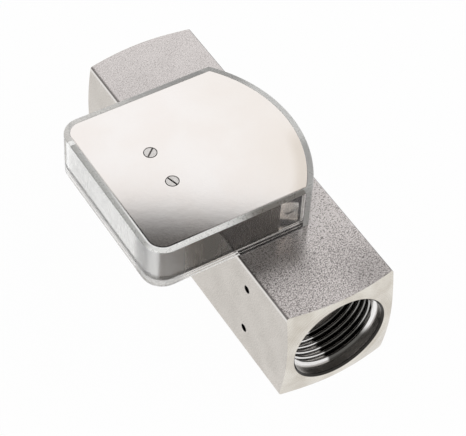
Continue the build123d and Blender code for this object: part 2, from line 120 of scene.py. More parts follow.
class Graph:
    """Node tree with short calls that add nodes and join them."""

    def __init__(self, tree: Tree) -> None:
        """Keeps the tree, of a material, a world or a group, that the calls add to."""
        self.tree = tree

    def add(self, kind: Kind, inputs: Optional[dict] = None, **settings: object) -> bpy.types.Node:
        """Adds a node, sets its properties and joins its inputs.

        Args:
            kind: Which node.
            inputs: Values or sockets for its inputs, by name or place.
            settings: Properties of the node.

        Returns:
            The new node.
        """
        node = self.tree.nodes.new(kind.value)
        for name, value in settings.items():
            setattr(node, name, value)
        for key, value in (inputs or {}).items():
            self.feed(node.inputs[key], value)
        return node

    def feed(self, target: Socket, value: Value) -> None:
        """Joins a socket to an input, or sets a plain value on it.

        Args:
            target: Input socket.
            value: Output socket, number or colour.
        """
        if isinstance(value, bpy.types.NodeSocket):
            self.tree.links.new(value, target)
        elif isinstance(value, tuple) and target.type == "RGBA":
            target.default_value = (*value, 1.0)
        else:
            target.default_value = value

    def math(self, operation: str, first: Value, second: Value = 0.0) -> Socket:
        """Returns the result of a math node, by Blender's name of its operation."""
        return self.add(Kind.MATH, {0: first, 1: second}, operation=operation).outputs[0]

    def plus(self, first: Value, second: Value) -> Socket:
        """Returns the sum of two values."""
        return self.math("ADD", first, second)

    def minus(self, first: Value, second: Value) -> Socket:
        """Returns the first value less the second."""
        return self.math("SUBTRACT", first, second)

    def times(self, *values: Value) -> Socket:
        """Returns the product of two or more values."""
        return reduce(partial(self.math, "MULTIPLY"), values)

    def larger(self, first: Value, second: Value) -> Socket:
        """Returns the larger of two values."""
        return self.math("MAXIMUM", first, second)

    def unsigned(self, value: Value) -> Socket:
        """Returns a value without its sign."""
        return self.math("ABSOLUTE", value)

    def smooth(
        self, value: Socket, low: float, high: float, start: Value = 0.0, end: Value = 1.0
    ) -> Socket:
        """Returns start up to low and end from high on, with an eased change between them."""
        inputs = {"Value": value, "From Min": low, "From Max": high, "To Min": start, "To Max": end}
        return self.add(Kind.RANGE, inputs, interpolation_type="SMOOTHSTEP").outputs["Result"]

    def _mixed(self, kind: str, place: int, values: tuple) -> bpy.types.Node:
        """Adds a mix node of a kind, fed with the factor and, from a place on, what it mixes."""
        inputs = dict(zip((0, place, place + 1), values))
        return self.add(Kind.MIX, inputs, data_type=kind)

    def blend(self, factor: Value, first: Value, second: Value) -> Socket:
        """Returns a blend of two colours, where the factor is the share of the second."""
        return self._mixed("RGBA", 6, (factor, first, second)).outputs[2]

    def mix(self, factor: Value, first: Value, second: Value) -> Socket:
        """Returns a blend of two numbers, where the factor is the share of the second."""
        return self._mixed("FLOAT", 2, (factor, first, second)).outputs[0]

    def fade(self, value: Socket, low: float, high: float) -> Socket:
        """Returns 1 up to low and 0 from high on, with an eased change between them."""
        return self.smooth(value, low, high, 1.0, 0.0)

    def noise(self, vector: Socket, scale: Value, detail: float) -> Socket:
        """Returns the value of a noise texture at a point."""
        inputs = {"Vector": vector, "Scale": scale, "Detail": detail}
        return self.add(Kind.NOISE, inputs).outputs["Fac"]

    def effect(self, tree: Tree, **inputs: Value) -> bpy.types.bpy_prop_collection:
        """Places a shared group, feeds its inputs by name and returns its outputs."""
        return self.add(Kind.GROUP, inputs, node_tree=tree).outputs

    def split(self, point: Socket) -> bpy.types.bpy_prop_collection:
        """Returns the sockets of a point's X, Y and Z."""
        return self.add(Kind.SPLIT, {0: point}).outputs

    def object_point(self) -> Socket:
        """Returns the socket of the object coordinates."""
        return self.add(Kind.COORD).outputs["Object"]

    def centred(self, centre: Vector) -> Socket:
        """Returns object coordinates measured from a centre."""
        inputs = {"Vector": self.object_point(), "Location": tuple(-centre)}
        return self.add(Kind.MAPPING, inputs).outputs[0]

    def length(self, first: Socket, second: Socket) -> Socket:
        """Returns the length of a pair of sides at a right angle."""
        return self.math("SQRT", self.plus(self.times(first, first), self.times(second, second)))

    def level_radius(self, centre: Vector) -> Socket:
        """Returns the distance from an upright axis through a centre."""
        across, along, _ = self.split(self.centred(centre))
        return self.length(across, along)

    def plate_line(self, across: Socket, along: Socket, low: float, high: float) -> Socket:
        """Returns how far past the face plate's front left outline a point is, from 0 to 1.

        Args:
            across: X of the point.
            along: Y of the point.
            low: Distance past the outline where the rise starts.
            high: Distance past it where the rise ends.

        Returns:
            The rise's socket.
        """
        past_left = self.larger(self.minus(PLATE_CORNER.x, across), 0.0)
        past_front = self.larger(self.minus(PLATE_CORNER.y, along), 0.0)
        past = self.minus(self.length(past_left, past_front), PLATE_CORNER_RADIUS)
        return self.smooth(past, low, high)

    def near_corner(self, across: Socket, along: Socket) -> Socket:
        """Returns 1 at the case's front left corner, fading to a trace along its sides."""
        return self.smooth(self.plus(across, along), *NEAR_CORNER, 1.0, 0.15)


class Effects:
    """Shader node groups that several finishes share, each built once."""

    def __init__(self) -> None:
        """Builds every group."""
        self.grain = self._grain()
        self.pits = self._pits()
        self.brushing = self._brushing()
        self.turning = self._turning()

    @staticmethod
    def _group(name: str, inputs: dict, outputs: tuple) -> tuple[Graph, dict, dict]:
        """Starts a group with named sockets.

        Args:
            name: Name of the group.
            inputs: Socket type by input name.
            outputs: Names of the outputs.

        Returns:
            The group's graph, the sockets that it is given and the sockets of its results.
        """
        tree = bpy.data.node_groups.new(name, "ShaderNodeTree")
        for label, kind in inputs.items():
            tree.interface.new_socket(label, in_out="INPUT", socket_type=kind)
        for label in outputs:
            tree.interface.new_socket(label, in_out="OUTPUT", socket_type=NUMBER)
        given = tree.nodes.new("NodeGroupInput").outputs
        result = tree.nodes.new("NodeGroupOutput").inputs
        return Graph(tree), given, result

    def _grain(self) -> Tree:
        """Builds fine, even mottling with larger, softer clouds.

        Returns:
            The group's tree.
        """
        sockets = {"Vector": VECTOR, "Scale": NUMBER, "Clouds": NUMBER}
        graph, given, result = self._group("surface_grain", sockets, ("Shade", "Clouds", "Height"))
        fine = graph.noise(given["Vector"], given["Scale"], 3.0)
        wide = graph.noise(given["Vector"], given["Clouds"], 2.0)
        graph.feed(result["Shade"], graph.smooth(fine, 0.34, 0.62))
        graph.feed(result["Clouds"], graph.smooth(wide, 0.3, 0.7))
        graph.feed(result["Height"], fine)
        return graph.tree

    def _pits(self) -> Tree:
        """Builds scattered small pits of uneven depth.

        Returns:
            The group's tree.
        """
        sockets = {"Vector": VECTOR, "Scale": NUMBER, "Width": NUMBER}
        graph, given, result = self._group("scattered_pits", sockets, ("Mask", "Height"))
        cells = graph.add(Kind.VORONOI, {"Vector": given["Vector"], "Scale": given["Scale"]})
        depth = graph.smooth(graph.minus(given["Width"], cells.outputs["Distance"]), 0.0, 0.12)
        patches = graph.noise(given["Vector"], given["Scale"], 1.0)
        mask = graph.times(depth, graph.smooth(patches, 0.40, 0.52))
        graph.feed(result["Mask"], mask)
        graph.feed(result["Height"], graph.minus(1.0, mask))
        return graph.tree

    def _brushing(self) -> Tree:
        """Builds long fine lines, as an abrasive belt leaves them.

        Returns:
            The group's tree.
        """
        sockets = {"Vector": VECTOR, "Stretch": VECTOR, "Scale": NUMBER}
        graph, given, result = self._group("brushed_lines", sockets, ("Shade", "Height"))
        stretched = graph.add(Kind.MAPPING, {"Vector": given["Vector"], "Scale": given["Stretch"]})
        lines = graph.noise(stretched.outputs[0], given["Scale"], 4.0)
        graph.feed(result["Shade"], graph.smooth(lines, 0.3, 0.7))
        graph.feed(result["Height"], lines)
        return graph.tree

    def _turning(self) -> Tree:
        """Builds rings about an axis, as a lathe tool leaves them on faces and on bores.

        Returns:
            The group's tree.
        """
        sockets = {"Radius": NUMBER, "Station": NUMBER, "Rings": NUMBER}
        graph, given, result = self._group("turning_marks", sockets, ("Shade", "Height"))
        path = graph.times(graph.plus(given["Radius"], given["Station"]), given["Rings"])
        inputs = {"W": path, "Scale": 1.0, "Detail": 3.0}
        rings = graph.add(Kind.NOISE, inputs, noise_dimensions="1D").outputs["Fac"]
        graph.feed(result["Shade"], graph.smooth(rings, 0.3, 0.7))
        graph.feed(result["Height"], rings)
        return graph.tree


class Coat(Graph):
    """Node tree of a material with one Principled shader."""

    def __init__(self, name: str) -> None:
        """Makes the material.

        Args:
            name: Name of the material.
        """
        self.material = bpy.data.materials.new(name)
        self.material.use_nodes = True
        super().__init__(self.material.node_tree)

    def close(
        self,
        color: Value,
        roughness: Value,
        height: Optional[Socket] = None,
        depth: float = 0.0,
        **plain: Value,
    ) -> Material:
        """Feeds the shader.

        Args:
            color: Base colour.
            roughness: Roughness.
            height: Relief from 0 to 1, or None for a flat surface.
            depth: How deep the relief is.
            plain: Other inputs, by name with underscores for spaces.

        Returns:
            The finished material.
        """
        inputs = self.tree.nodes["Principled BSDF"].inputs
        self.feed(inputs["Base Color"], color)
        self.feed(inputs["Roughness"], roughness)
        if height is not None:
            bump = self.add(Kind.BUMP, {"Height": height, "Strength": 1.0, "Distance": depth})
            self.feed(inputs["Normal"], bump.outputs[0])
        for label, value in plain.items():
            self.feed(inputs[label.replace("_", " ")], value)
        return self.material


@dataclass(frozen=True)
class BarFinish:
    """Steel of the square bar: grainy faces, smooth turned ends and dark bores, with painted shade on
    its top, edges, port mouths and side holes, and a painted highlight below its top edge.

    The sizes are those of the bar, in metres, and say which face a point is on.
    """

    name: str = "bar_steel"
    top: Color = (0.85, 0.805, 0.79)
    top_dark: Color = (0.40, 0.36, 0.35)
    top_shade: Color = (0.05, 0.045, 0.04)
    side: Color = (0.475, 0.445, 0.406)
    side_light: Color = (0.74, 0.703, 0.66)
    end: Color = (0.54, 0.495, 0.43)
    end_light: Color = (0.80, 0.77, 0.71)
    pit: Color = (0.07, 0.06, 0.055)
    bore: Color = (0.40, 0.38, 0.36)
    mouth: Color = (0.035, 0.033, 0.03)
    edge: Color = (0.09, 0.08, 0.075)
    edge_light: Color = (0.92, 0.90, 0.88)
    hole: Color = (0.02, 0.02, 0.02)
    half_width: float = 20 * MM
    relief: float = 0.02 * MM
    end_edge: Span = span(0.02, 0.12)
    top_edge: Span = span(-0.5, -0.1)
    highlight_band: Span = span(-2.2, -1.2)
    mouth_depth: Span = span(0.75, 1.0)
    end_face_radius: float = 19.5 * MM
    chamfer_slope: float = math.tan(math.radians(15))
    port_mouth: Span = span(17.25, 17.30)
    ridge: Span = span(-0.675, -0.558)
    ridge_share: float = 0.85
    left_side: Span = span(-10, -8)
    hole_edge: Span = span(1.45, 1.50)
    hole_station: float = -40.5 * MM
    hole_height: float = 10 * MM
    coarse_run: Span = span(-52.4, -32.75)
    coarse_share: Span = (1.0, 0.42)
    pitted_run: Span = span(-32.75, 32.75)
    pitted_share: Span = (0.75, 0.2)
    highlight_share: float = 0.6
    case_share: float = 0.42
    end_share: float = 0.3
    case_side: Span = span(-5, 4)
    case_front: Span = span(-57, -39)
    case_back: Span = span(-28, -18)
    far_side: Span = span(-2, 13)
    near_end: Span = span(-62, -38)

    def build(self, effects: Effects) -> Material:
        """Builds the material.

        Args:
            effects: Shared groups.

        Returns:
            The material.
        """
        graph = Coat(self.name)
        point = graph.centred(BORE)
        across, along, up = graph.split(point)
        radius = graph.length(across, up)
        from_middle = graph.unsigned(along)

        cone = graph.times(graph.minus(radius, self.end_face_radius), self.chamfer_slope)
        to_end = graph.minus(BAR_HALF_LENGTH, graph.plus(from_middle, graph.larger(cone, 0.0)))
        on_end = graph.fade(to_end, *self.end_edge)
        in_bore = graph.fade(radius, *self.port_mouth)
        to_top = graph.minus(up, self.half_width)
        on_top = graph.smooth(to_top, *self.top_edge)

        side_edge = graph.minus(graph.unsigned(across), self.half_width)
        level_edge = graph.minus(graph.unsigned(up), self.half_width)
        ridge = graph.smooth(graph.plus(side_edge, level_edge), *self.ridge)

        on_left = graph.fade(across, *self.left_side)
        hole_side = graph.minus(graph.unsigned(up), self.hole_height)
        from_hole = graph.length(hole_side, graph.minus(along, self.hole_station))
        in_hole = graph.fade(from_hole, *self.hole_edge)

        grain = graph.effect(effects.grain, Vector=point, Scale=2500.0, Clouds=110.0)
        pits = graph.effect(effects.pits, Vector=point, Scale=1750.0, Width=0.45)
        turning = graph.effect(effects.turning, Radius=radius, Station=from_middle, Rings=9000.0)

        coarse = graph.smooth(along, *self.coarse_run, *self.coarse_share)
        top = graph.blend(graph.mix(coarse, 0.78, grain["Shade"]), self.top_dark, self.top)
        pitting = graph.smooth(along, *self.pitted_run, *self.pitted_share)
        top = graph.blend(graph.times(pits["Mask"], pitting), top, self.pit)
        # Painted shade: the top darkens in front of the case and towards its right near the inlet end.
        painted_case_shade = graph.times(
            graph.smooth(across, *self.case_side, self.case_share, 0.0),
            graph.smooth(along, *self.case_front),
            graph.fade(along, *self.case_back),
        )
        far_side = graph.smooth(across, *self.far_side, 0.0, self.end_share)
        painted_end_shade = graph.times(far_side, graph.fade(along, *self.near_end))
        top = graph.blend(graph.larger(painted_case_shade, painted_end_shade), top, self.top_shade)
        mottle = graph.mix(0.22, grain["Shade"], grain["Clouds"])
        side = graph.blend(mottle, self.side, self.side_light)
        # Painted highlight: the sides turn light in a band just below the top edge.
        painted_edge_highlight = graph.smooth(to_top, *self.highlight_band, 0.0, self.highlight_share)
        side = graph.blend(painted_edge_highlight, side, self.edge_light)
        worn = graph.mix(0.6, turning["Shade"], grain["Clouds"])
        end = graph.blend(worn, self.end, self.end_light)
        color = graph.blend(on_top, side, top)
        # Painted shade: a dark line along the bar's rounded long edges.
        color = graph.blend(graph.times(ridge, self.ridge_share), color, self.edge)
        color = graph.blend(on_end, color, end)
        # Painted shade: the chamfer at each port's mouth is near black.
        at_mouth = graph.fade(to_end, *self.mouth_depth)
        color = graph.blend(in_bore, color, graph.blend(at_mouth, self.bore, self.mouth))
        # Painted shade: the holes in the left side, with their chamfers, are black.
        color = graph.blend(graph.times(in_hole, on_left), color, self.hole)

        plain = graph.larger(on_end, in_bore)
        roughness = graph.mix(on_top, 0.42, graph.mix(grain["Clouds"], 0.16, 0.22))
        roughness = graph.mix(plain, roughness, graph.mix(turning["Shade"], 0.22, 0.34))
        rough_height = graph.mix(on_top, graph.times(grain["Height"], 0.35), grain["Height"])
        pitted = graph.mix(on_top, rough_height, graph.times(rough_height, pits["Height"]))
        height = graph.mix(plain, pitted, graph.times(turning["Height"], 0.12))
        return graph.close(color, roughness, height, self.relief, Metallic=graph.mix(on_top, 1.0, 0.8))


@dataclass(frozen=True)
class SheetFinish:
    """Rolled or brushed metal sheet with fine lines one way and faint clouds."""

    name: str
    light: Color
    dark: Color
    lines: Direction
    line_scale: float = 2500.0
    roughness: Span = (0.16, 0.10)
    bump: float = 0.002 * MM

    def build(self, effects: Effects) -> Material:
        """Builds the material.

        Args:
            effects: Shared groups.

        Returns:
            The material.
        """
        graph = Coat(self.name)
        point = graph.object_point()
        lines = graph.effect(
            effects.brushing, Vector=point, Stretch=self.lines.value, Scale=self.line_scale
        )
        grain = graph.effect(effects.grain, Vector=point, Scale=3000.0, Clouds=45.0)
        shade = graph.mix(0.45, lines["Shade"], grain["Clouds"])
        color = graph.blend(shade, self.dark, self.light)
        roughness = graph.mix(shade, *self.roughness)
        return graph.close(color, roughness, lines["Height"], self.bump, Metallic=1.0)


@dataclass(frozen=True)
class FacePlateFinish:
    """Satin steel of the face plate, with a painted shadow line round each screw head and along its
    front left edge, and painted shade by its arc.
    """

    name: str = "face_steel"
    light: Color = (0.935, 0.90, 0.88)
    dark: Color = (0.915, 0.865, 0.835)
    tan: Color = (0.86, 0.80, 0.745)
    ring: Color = (0.05, 0.047, 0.045)
    screws: tuple[Vector, Vector] = ()
    outline: Span = span(-0.32, -0.16)
    waves: float = 0.0012 * MM
    roughness: Span = (0.075, 0.06)
    tan_side: Span = span(-20, 16)
    tan_back: Span = span(-18, 2)
    rim_shade: Color = (0.755, 0.69, 0.625)
    rim_run: Span = span(40.8, 45.0)
    rim_back: Span = span(-17, -6)
    ring_edge: Span = span(2.24, 2.34)

    def build(self, effects: Effects) -> Material:
        """Builds the material.

        Args:
            effects: Shared groups.

        Returns:
            The material.
        """
        graph = Coat(self.name)
        point = graph.object_point()
        stretch = Direction.ALONG.value
        lines = graph.effect(effects.brushing, Vector=point, Stretch=stretch, Scale=2500.0)
        grain = graph.effect(effects.grain, Vector=point, Scale=2600.0, Clouds=70.0)
        shade = graph.mix(0.9, lines["Shade"], grain["Clouds"])
        across, along, _ = graph.split(point)
        color = graph.blend(shade, self.dark, self.light)
        to_right = graph.smooth(across, *self.tan_side)
        near = graph.smooth(along, *self.tan_back, 1.0, 0.5)
        color = graph.blend(graph.times(to_right, near), color, self.tan)
        # Painted shade: the plate turns darker and warmer towards its arc.
        by_arc = graph.smooth(graph.level_radius(PIVOT), *self.rim_run)
        by_arc = graph.times(by_arc, graph.fade(along, *self.rim_back))
        color = graph.blend(by_arc, color, self.rim_shade)
        # Painted shadow: a dark ring round each screw head.
        for screw in self.screws:
            inside = graph.fade(graph.level_radius(screw), *self.ring_edge)
            color = graph.blend(inside, color, self.ring)
        # Painted shadow: a dark line along the plate's front left edge, fading along its sides.
        at_edge = graph.plate_line(across, along, *self.outline)
        line = graph.times(at_edge, graph.near_corner(across, along))
        color = graph.blend(line, color, self.ring)
        waves = graph.effect(effects.grain, Vector=point, Scale=550.0, Clouds=70.0)
        roughness = graph.mix(grain["Shade"], *self.roughness)
        return graph.close(color, roughness, waves["Height"], self.waves, Metallic=1.0)


@dataclass(frozen=True)
class BandFinish:
    """Strip steel of the band, in painted light: a painted highlight makes its left leg bright, and
    painted shade makes the legs square to it dark and streaky.
    """

    name: str = "band_steel"
    bright: Color = (0.95, 0.945, 0.94)
    left_end: Color = (0.19, 0.165, 0.145)
    middle: Color = (0.012, 0.009, 0.006)
    right_end: Color = (0.07, 0.06, 0.045)
    corner: Span = span(-46.9, -46.0)
    left_run: Span = span(-46, -27)
    right_run: Span = span(-27, -8)
    roughness: Span = (0.2, 0.3)
    bump: float = 0.004 * MM

    def build(self, effects: Effects) -> Material:
        """Builds the material.

        Args:
            effects: Shared groups.

        Returns:
            The material.
        """
        graph = Coat(self.name)
        point = graph.object_point()
        across = graph.split(point)[0]
        stretch = Direction.UPRIGHT.value
        lines = graph.effect(effects.brushing, Vector=point, Stretch=stretch, Scale=900.0)
        grain = graph.effect(effects.grain, Vector=point, Scale=2200.0, Clouds=130.0)
        # Painted shade on the legs square to the left one, darkest in the middle; the left leg gets a
        # painted highlight below.
        dark = graph.blend(graph.smooth(across, *self.left_run), self.left_end, self.middle)
        dark = graph.blend(graph.smooth(across, *self.right_run), dark, self.right_end)
        streak = graph.mix(0.35, lines["Shade"], grain["Clouds"])
        dark = graph.blend(graph.times(streak, 0.45), dark, self.left_end)
        front = graph.smooth(across, *self.corner)
        color = graph.blend(front, self.bright, dark)
        roughness = graph.mix(streak, *self.roughness)
        height = graph.times(lines["Height"], front)
        return graph.close(color, roughness, height, self.bump, Metallic=1.0)


@dataclass(frozen=True)
class TurnedFinish:
    """Metal turned on a lathe, with rings about the axis of its piece."""

    name: str
    light: Color
    dark: Color
    centre: Vector
    upright: bool = False
    rings: float = 7000.0
    roughness: Span = (0.30, 0.16)
    bump: float = 0.006 * MM

    def build(self, effects: Effects) -> Material:
        """Builds the material.

        Args:
            effects: Shared groups.

        Returns:
            The material.
        """
        graph = Coat(self.name)
        point = graph.centred(self.centre)
        across, along, up = graph.split(point)
        beside, station = (along, up) if self.upright else (up, along)
        turning = graph.effect(
            effects.turning, Radius=graph.length(across, beside), Station=station, Rings=self.rings
        )
        grain = graph.effect(effects.grain, Vector=point, Scale=2600.0, Clouds=260.0)
        shade = graph.mix(0.35, turning["Shade"], grain["Clouds"])
        color = graph.blend(shade, self.dark, self.light)
        roughness = graph.mix(shade, *self.roughness)
        return graph.close(color, roughness, turning["Height"], self.bump, Metallic=1.0)


@dataclass(frozen=True)
class ScrewFinish:
    """Slotted screw head: bright and faced off, with painted shade in its slot and round its rim."""

    name: str
    centre: Vector
    slot: Color
    light: Color = (0.95, 0.92, 0.90)
    dark: Color = (0.78, 0.75, 0.73)
    rim: Color = (0.05, 0.047, 0.045)
    rim_edge: Span = span(1.95, 2.05)
    slot_level: Span = span(56.5, 56.6)
    roughness: Span = (0.18, 0.3)
    bump: float = 0.004 * MM

    def build(self, effects: Effects) -> Material:
        """Builds the material.

        Args:
            effects: Shared groups.

        Returns:
            The material.
        """
        graph = Coat(self.name)
        across, along, up = graph.split(graph.centred(self.centre))
        radius = graph.length(across, along)
        turning = graph.effect(effects.turning, Radius=radius, Station=up, Rings=5000.0)
        in_slot = graph.fade(up, *self.slot_level)
        on_rim = graph.smooth(radius, *self.rim_edge)
        color = graph.blend(turning["Shade"], self.dark, self.light)
        # Painted shade in the slot and round the rim of the head.
        color = graph.blend(in_slot, color, self.slot)
        color = graph.blend(on_rim, color, self.rim)
        roughness = graph.mix(turning["Shade"], *self.roughness)
        return graph.close(color, roughness, turning["Height"], self.bump, Metallic=1.0)


@dataclass(frozen=True)
class ThreadFinish:
    """Cut thread in painted light: painted highlights on the crests low on the left and high on the
    right, painted shade between.
    """

    name: str = "thread_steel"
    bright: Color = (0.95, 0.935, 0.92)
    dark: Color = (0.10, 0.097, 0.09)
    left_edge: Span = span(-0.6, 0.6)
    right_edge: Span = span(-10.5, -5.5)
    fade: Span = span(3.5, 8.0)
    roughness: Span = (0.12, 0.2)
    bump: float = 0.006 * MM

    def build(self, effects: Effects) -> Material:
        """Builds the material.

        Args:
            effects: Shared groups.

        Returns:
            The material.
        """
        graph = Coat(self.name)
        across, along, up = graph.split(graph.centred(BORE))
        radius = graph.length(across, up)
        turning = graph.effect(effects.turning, Radius=radius, Station=along, Rings=12000.0)
        # Painted highlights on the left and right crests, the right ones fading deeper in; the rest is
        # painted shade.
        left = graph.fade(across, *self.left_edge)
        right = graph.smooth(up, *self.right_edge)
        depth = graph.minus(BAR_HALF_LENGTH, graph.unsigned(along))
        near = graph.smooth(depth, *self.fade, 1.0, 0.25)
        lit = graph.larger(graph.times(left, 0.9), graph.times(right, near))
        share = graph.times(lit, graph.mix(turning["Shade"], 0.8, 1.0))
        color = graph.blend(share, self.dark, self.bright)
        roughness = graph.mix(turning["Shade"], *self.roughness)
        return graph.close(color, roughness, turning["Height"], self.bump, Metallic=1.0)


@dataclass(frozen=True)
class MouldedFinish:
    """Rubber, plastic, sintered or painted surface with a fine even grain."""

    name: str
    light: Color
    dark: Color
    grain_scale: float = 2200.0
    roughness: Span = (0.5, 0.35)
    metallic: float = 0.0
    coat: float = 0.0
    bump: float = 0.01 * MM

    def build(self, effects: Effects) -> Material:
        """Builds the material.

        Args:
            effects: Shared groups.

        Returns:
            The material.
        """
        graph = Coat(self.name)
        point = graph.object_point()
        grain = graph.effect(effects.grain, Vector=point, Scale=self.grain_scale, Clouds=180.0)
        shade = graph.mix(0.5, grain["Shade"], grain["Clouds"])
        color = graph.blend(shade, self.dark, self.light)
        roughness = graph.mix(shade, *self.roughness)
        plain = {"Metallic": self.metallic, "Coat_Weight": self.coat}
        return graph.close(color, roughness, grain["Height"], self.bump, **plain)


@dataclass(frozen=True)
class RimFinish:
    """Satin top edge of the clear cover, all in painted light: painted highlights at its front left,
    along its arc and beside the plate, painted shade at its front right and at the arc's ends, and a
    painted tone on each side.
    """

    name: str = "satin_rim"
    pale: Color = (0.93, 0.93, 0.91)
    left_tone: Color = (0.43, 0.43, 0.415)
    back_tone: Color = (0.68, 0.67, 0.65)
    apex_tone: Color = (0.31, 0.305, 0.295)
    back_run: Span = span(-42, 4)
    back: Span = span(19.4, 19.6)
    glint_end: Span = span(21.3, 21.5)
    glint_side: Span = span(-45, -44)
    shaded: Color = (0.20, 0.185, 0.165)
    line: Color = (1.0, 1.0, 0.99)
    line_gap: Span = span(0.5, 0.9)
    clearness: float = 0.3
    roughness: Span = (0.25, 0.4)
    ior: float = 1.49
    front: Span = span(-30.5, -27.5)
    front_end: Span = span(-24, -12)
    shaded_front: Span = span(-32.4, -31.4)
    corner: Span = span(4.0, 4.5)
    arc: Span = span(45.2, 45.8)
    arc_share: float = 0.75
    dusk: Color = (0.30, 0.295, 0.28)
    dusk_back: Span = span(12, 21)
    dusk_front: Span = span(-18, -10)

    def build(self, effects: Effects) -> Material:
        """Builds the material.

        Args:
            effects: Shared groups.

        Returns:
            The material.
        """
        graph = Coat(self.name)
        point = graph.object_point()
        across, along, _ = graph.split(point)
        grain = graph.effect(effects.grain, Vector=point, Scale=900.0, Clouds=120.0)
        # Painted highlight: the front and the arc of the rim are pale.
        on_arc = graph.smooth(graph.level_radius(PIVOT), *self.arc, 0.0, self.arc_share)
        share = graph.larger(graph.fade(along, *self.front), on_arc)
        worn = graph.mix(grain["Clouds"], 0.92, 1.0)
        # Painted light in a tone for each side, with a painted glint on the left rim near the back.
        back = graph.blend(graph.smooth(across, *self.back_run), self.back_tone, self.apex_tone)
        on_back = graph.smooth(along, *self.back)
        tone = graph.blend(on_back, self.left_tone, back)
        before = graph.fade(along, *self.glint_end)
        glint = graph.times(on_back, before, graph.fade(across, *self.glint_side))
        tone = graph.blend(glint, tone, self.line)
        color = graph.blend(graph.times(share, worn), tone, self.pale)
        # Painted shade at the arc's ends.
        ends = graph.larger(graph.smooth(along, *self.dusk_back), graph.fade(along, *self.dusk_front))
        color = graph.blend(graph.times(ends, on_arc), color, self.dusk)
        # Painted shade at the front right.
        dimmed = graph.times(
            graph.fade(along, *self.shaded_front),
            graph.smooth(across, *self.front_end),
            graph.fade(across, *self.corner),
        )
        color = graph.blend(dimmed, color, self.shaded)
        # Painted highlight: a white line beside the plate's front left edge.
        beside_plate = graph.minus(1.0, graph.plate_line(across, along, *self.line_gap))
        line = graph.times(beside_plate, graph.near_corner(across, along))
        color = graph.blend(line, color, self.line)
        roughness = graph.mix(grain["Shade"], *self.roughness)
        return graph.close(color, roughness, Transmission_Weight=self.clearness, IOR=self.ior)


@dataclass(frozen=True)
class ClearFinish:
    """Clear moulded plastic with polished faces and faint flow marks."""

    name: str = "clear_plastic"
    tint: Color = (0.985, 0.985, 0.98)
    haze: Color = (0.955, 0.955, 0.945)
    ior: float = 1.43
    bump: float = 0.002 * MM
    roughness: Span = (0.07, 0.12)
    corner_roughness: float = 0.45
    corner: Span = span(-77, -71)

    def build(self, effects: Effects) -> Material:
        """Builds the material.

        Args:
            effects: Shared groups.

        Returns:
            The material.
        """
        graph = Coat(self.name)
        point = graph.object_point()
        grain = graph.effect(effects.grain, Vector=point, Scale=160.0, Clouds=60.0)
        color = graph.blend(grain["Clouds"], self.haze, self.tint)
        across, along, _ = graph.split(point)
        at_corner = graph.fade(graph.plus(across, along), *self.corner)
        wall = graph.mix(grain["Shade"], *self.roughness)
        roughness = graph.mix(at_corner, wall, self.corner_roughness)
        return graph.close(
            color, roughness, grain["Height"], self.bump, Transmission_Weight=1.0, IOR=self.ior
        )


class Bench:
    """Modelling calls that start from a clean selection."""

    flat: float = math.radians(0.2)
    weld: float = 0.001 * MM

    @staticmethod
    def clear() -> None:
        """Deselects every object."""
        bpy.ops.object.select_all(action="DESELECT")

    @classmethod
    def pick(cls, piece: Piece) -> None:
        """Makes a piece the only selected and active one.

        Args:
            piece: Object to work on.
        """
        cls.clear()
        piece.select_set(True)
        bpy.context.view_layer.objects.active = piece

    @staticmethod
    def apply_modifiers(piece: Piece) -> None:
        """Applies all modifiers of the active piece, in order."""
        for modifier in list(piece.modifiers):
            bpy.ops.object.modifier_apply(modifier=modifier.name)

    @classmethod
    def close_ends(cls, piece: Piece, sides: int) -> None:
        """Fills the open ends of a swept piece and turns its faces outwards.

        Args:
            piece: Swept object.
            sides: Number of edges of an end.
        """
        cls.pick(piece)
        bpy.ops.object.mode_set(mode="EDIT")
        bpy.ops.mesh.select_all(action="SELECT")
        bpy.ops.mesh.fill_holes(sides=sides)
        bpy.ops.mesh.select_all(action="SELECT")
        bpy.ops.mesh.normals_make_consistent(inside=False)
        bpy.ops.object.mode_set(mode="OBJECT")

    @classmethod
    def sweep(cls, piece: Piece, sides: int, pitch: float, turns: int, steps: int) -> None:
        """Sweeps a profile about the Y axis into a closed helix.

        Args:
            piece: Profile.
            sides: Number of its edges.
            pitch: Advance of one turn.
            turns: Number of turns.
            steps: Sections of one turn.
        """
        sweep = piece.modifiers.new("sweep", "SCREW")
        sweep.axis = "Y"
        sweep.screw_offset = pitch
        sweep.iterations = turns
        sweep.steps = steps
        sweep.render_steps = steps
        sweep.use_smooth_shade = False
        cls.apply_modifiers(piece)
        cls.close_ends(piece, sides)

    @classmethod
    def merged_copy(cls, node: str, name: str) -> Piece:
        """Copies a node of the model and merges its loose triangles.

        Args:
            node: Name of the node.
            name: Name of the copy.

        Returns:
            The copy, with its own mesh.
        """
        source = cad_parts[node]
        piece = bpy.data.objects.new(name, source.data.copy())
        bpy.context.scene.collection.objects.link(piece)
        cls.pick(piece)
        bpy.ops.object.mode_set(mode="EDIT")
        bpy.ops.mesh.select_all(action="SELECT")
        bpy.ops.mesh.remove_doubles(threshold=cls.weld)
        bpy.ops.mesh.dissolve_limited(angle_limit=cls.flat)
        bpy.ops.object.mode_set(mode="OBJECT")
        if piece.data.has_custom_normals:
            bpy.ops.mesh.customdata_custom_splitnormals_clear()
        return piece

    @staticmethod
    def dress(piece: Piece, material: Material) -> None:
        """Gives a piece one material."""
        piece.data.materials.clear()
        piece.data.materials.append(material)


